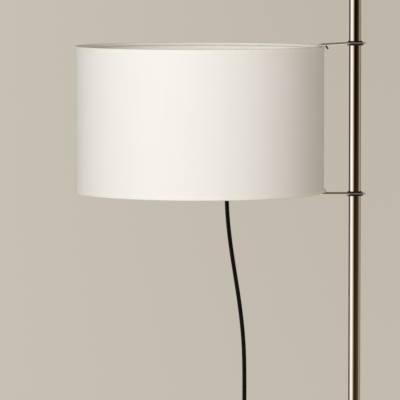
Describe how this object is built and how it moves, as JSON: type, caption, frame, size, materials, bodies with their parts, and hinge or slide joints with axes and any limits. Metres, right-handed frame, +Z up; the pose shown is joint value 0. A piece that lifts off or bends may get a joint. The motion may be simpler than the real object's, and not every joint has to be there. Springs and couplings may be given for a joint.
{
  "type": "column floor lamp",
  "caption": "Chromed column floor lamp with a white drum shade held beside the column by two looped wire arms that slide and swing on rubber grips.",
  "frame": {"origin": "the column's axis at floor level, under the weighted foot", "axes": "+Z up along the column; the shade lies towards -X; the picture looks along +Y"},
  "size_m": [0.606, 0.415, 1.653],
  "materials": {
    "chrome": "polished chrome plate",
    "cast_weight": "black primed casting",
    "rubber": "matt black rubber",
    "zinc_steel": "zinc plated steel",
    "white_steel": "white painted steel wire",
    "shade_cloth": "white cloth laminated on stiff sheet",
    "shade_tape": "cream binding tape",
    "black_plastic": "moulded black plastic",
    "ceramic_core": "unglazed white ceramic",
    "brass": "plain brass",
    "bulb_glass": "opal glass",
    "cord_sheath": "smooth black sheath"
  },
  "bodies": {
    "stand": {"foot_cover": "chrome", "foot_weight": "cast_weight", "foot_pad": "rubber", "foot_washer": "zinc_steel", "foot_bolt": "zinc_steel", "column_tube": "chrome", "column_insert": "zinc_steel", "column_cap": "chrome", "column_collar": "chrome", "collar_screws": "zinc_steel"},
    "floor_cord": {"cord_floor": "cord_sheath", "cord_link": "cord_sheath", "cord_coil": "cord_sheath", "cord_tail": "cord_sheath", "switch_base": "black_plastic", "switch_cover": "black_plastic", "switch_core": "black_plastic", "switch_relief_in": "black_plastic", "switch_relief_out": "black_plastic", "plug_body": "black_plastic", "plug_pins": "brass", "plug_relief": "black_plastic"},
    "shade_head": {"grip_ring_top": "rubber", "grip_ring_bottom": "rubber", "arm_top": "chrome", "arm_bottom": "chrome", "shade_skin": "shade_cloth", "rim_wire_top": "white_steel", "rim_wire_bottom": "white_steel", "rim_tape_top": "shade_tape", "rim_tape_bottom": "shade_tape", "holder_carrier": "chrome", "holder_nut": "zinc_steel", "holder_nipple": "zinc_steel", "cord_gland": "black_plastic", "holder_cap": "black_plastic", "holder_skirt": "black_plastic", "holder_core": "ceramic_core", "holder_thread": "brass", "holder_contact": "brass", "bulb_glass": "bulb_glass", "bulb_cap": "zinc_steel", "bulb_contact": "brass", "cord_guide": "black_plastic", "cord_lead": "cord_sheath", "cord_drop": "cord_sheath"},
    "button": {"switch_button": "black_plastic"}
  },
  "joints": [
    {"name": "shade_swing", "type": "hinge", "parent": "stand", "child": "floor_cord", "pos_m": [0, 0, 1], "axis": [0, 0, 1], "range_deg": [-180, 180]},
    {"name": "shade_height", "type": "slide", "parent": "floor_cord", "child": "shade_head", "axis": [0, 0, 1], "range_m": [-0.65, 0.16], "deforming": ["cord_drop"]},
    {"name": "switch_press", "type": "slide", "parent": "floor_cord", "child": "button", "axis": [0, 0, -1], "range_m": [0, 0.003], "stiffness_N_per_m": 400}
  ]
}
